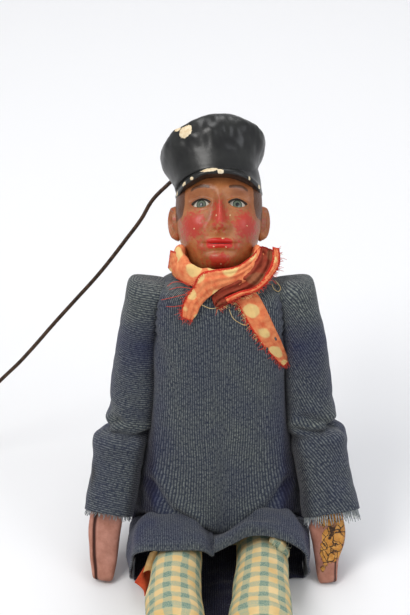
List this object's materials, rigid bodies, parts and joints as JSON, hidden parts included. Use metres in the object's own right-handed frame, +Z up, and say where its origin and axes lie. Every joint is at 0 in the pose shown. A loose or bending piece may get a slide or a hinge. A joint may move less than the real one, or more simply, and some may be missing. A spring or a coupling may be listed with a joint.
{
  "type": "rod marionette",
  "caption": "Carved wooden rod marionette seated on the floor, in a blue twill smock, black peaked cap, coral neckerchief and gingham trousers, with an iron rod linked to its cap",
  "frame": {"origin": "on the floor, midway between the legs and under the hip pin", "axes": "+X to the puppet's left, +Y behind its back, +Z up; the legs lie along -Y"},
  "size_m": [0.2447, 0.2836, 0.2102],
  "materials": {
    "blue_twill": "worn slate blue cotton twill",
    "gingham": "cream and teal check cotton",
    "coral_cloth": "coral print cotton with frayed red edges",
    "red_cloth": "red-orange cotton",
    "head_paint": "painted wood with worn red on nose, lips and cheeks",
    "cap_paint": "black gloss paint on wood, chipped to cream",
    "hand_paint": "brown-pink paint on wood, flaked",
    "bare_wood": "bare limewood",
    "clog_wood": "waxed wood",
    "iron_wire": "dull brown iron wire"
  },
  "bodies": {
    "torso": {"trunk": "bare_wood", "hip_pin": "iron_wire", "smock_chest": "blue_twill", "smock_skirt_front": "blue_twill", "smock_skirt_back": "blue_twill", "trousers_seat": "gingham", "neckerchief_roll": "coral_cloth", "neckerchief_knot": "coral_cloth", "neckerchief_tails": "coral_cloth", "handkerchief": "red_cloth"},
    "neck": {"neck_swivel": "iron_wire"},
    "head_and_cap": {"head": "head_paint", "cap": "cap_paint", "neck_pin": "iron_wire", "crown_eye": "iron_wire"},
    "ring": {"rod_ring": "iron_wire"},
    "rod": {"head_rod": "iron_wire"},
    "shoulder_right": {"shoulder_swivel_right": "iron_wire"},
    "upper_arm_right_body": {"upper_arm_right": "bare_wood", "shoulder_pin_right": "iron_wire", "sleeve_upper_right": "blue_twill"},
    "forearm_right_body": {"forearm_right": "hand_paint", "elbow_pin_right": "iron_wire", "sleeve_lower_right": "blue_twill"},
    "thigh_right_body": {"thigh_right": "bare_wood", "trouser_thigh_right": "gingham"},
    "shin_right_body": {"shin_right": "bare_wood", "knee_pin_right": "iron_wire", "trouser_shin_right": "gingham", "clog_right": "clog_wood"},
    "shoulder_left": {"shoulder_swivel_left": "iron_wire"},
    "upper_arm_left_body": {"upper_arm_left": "bare_wood", "shoulder_pin_left": "iron_wire", "sleeve_upper_left": "blue_twill"},
    "forearm_left_body": {"forearm_left": "hand_paint", "elbow_pin_left": "iron_wire", "sleeve_lower_left": "blue_twill"},
    "thigh_left_body": {"thigh_left": "bare_wood", "trouser_thigh_left": "gingham"},
    "shin_left_body": {"shin_left": "bare_wood", "knee_pin_left": "iron_wire", "trouser_shin_left": "gingham", "clog_left": "clog_wood"}
  },
  "joints": [
    {"name": "head_turn", "type": "hinge", "parent": "torso", "child": "neck", "pos_m": [0, 0.02662, 0.13608], "axis": [0, 0.2164, 0.9763], "range_deg": [-45, 45]},
    {"name": "head_nod", "type": "hinge", "parent": "neck", "child": "head_and_cap", "pos_m": [0, 0.02662, 0.13608], "axis": [1, 0, 0], "range_deg": [0, 15]},
    {"name": "ring_tilt", "type": "hinge", "parent": "head_and_cap", "child": "ring", "pos_m": [0, 0.1047, 0.18674], "axis": [0.5373, 0.5806, -0.6118], "range_deg": [0, 200]},
    {"name": "rod_tilt", "type": "hinge", "parent": "ring", "child": "rod", "pos_m": [-0.00316, 0.1039, 0.18321], "axis": [0.5273, -0.7974, -0.2935], "range_deg": [-18, 38]},
    {"name": "shoulder_swing_right", "type": "hinge", "parent": "torso", "child": "shoulder_right", "pos_m": [-0.039, 0.02565, 0.1363], "axis": [-1, 0, 0], "range_deg": [-40, 140]},
    {"name": "shoulder_spread_right", "type": "hinge", "parent": "shoulder_right", "child": "upper_arm_right_body", "pos_m": [-0.039, 0.02565, 0.1363], "axis": [0, 0.9816, -0.1908], "range_deg": [0, 75]},
    {"name": "elbow_right", "type": "hinge", "parent": "upper_arm_right_body", "child": "forearm_right_body", "pos_m": [-0.04681, 0.01256, 0.069], "axis": [-0.9936, 0.0216, 0.1111], "range_deg": [-23, 70]},
    {"name": "hip_right", "type": "hinge", "parent": "torso", "child": "thigh_right_body", "pos_m": [-0.0209, 0, 0.016], "axis": [1, 0, 0], "range_deg": [0, 90]},
    {"name": "knee_right", "type": "hinge", "parent": "thigh_right_body", "child": "shin_right_body", "pos_m": [-0.0209, -0.088, 0.016], "axis": [1, 0, 0], "range_deg": [0, 90]},
    {"name": "shoulder_swing_left", "type": "hinge", "parent": "torso", "child": "shoulder_left", "pos_m": [0.039, 0.02565, 0.1363], "axis": [-1, 0, 0], "range_deg": [-40, 140]},
    {"name": "shoulder_spread_left", "type": "hinge", "parent": "shoulder_left", "child": "upper_arm_left_body", "pos_m": [0.039, 0.02565, 0.1363], "axis": [0, -0.9816, 0.1908], "range_deg": [0, 75]},
    {"name": "elbow_left", "type": "hinge", "parent": "upper_arm_left_body", "child": "forearm_left_body", "pos_m": [0.04681, 0.01256, 0.069], "axis": [-0.9936, -0.0216, -0.1111], "range_deg": [-23, 70]},
    {"name": "hip_left", "type": "hinge", "parent": "torso", "child": "thigh_left_body", "pos_m": [0.0209, 0, 0.016], "axis": [1, 0, 0], "range_deg": [0, 90]},
    {"name": "knee_left", "type": "hinge", "parent": "thigh_left_body", "child": "shin_left_body", "pos_m": [0.0209, -0.088, 0.016], "axis": [1, 0, 0], "range_deg": [0, 90]}
  ]
}
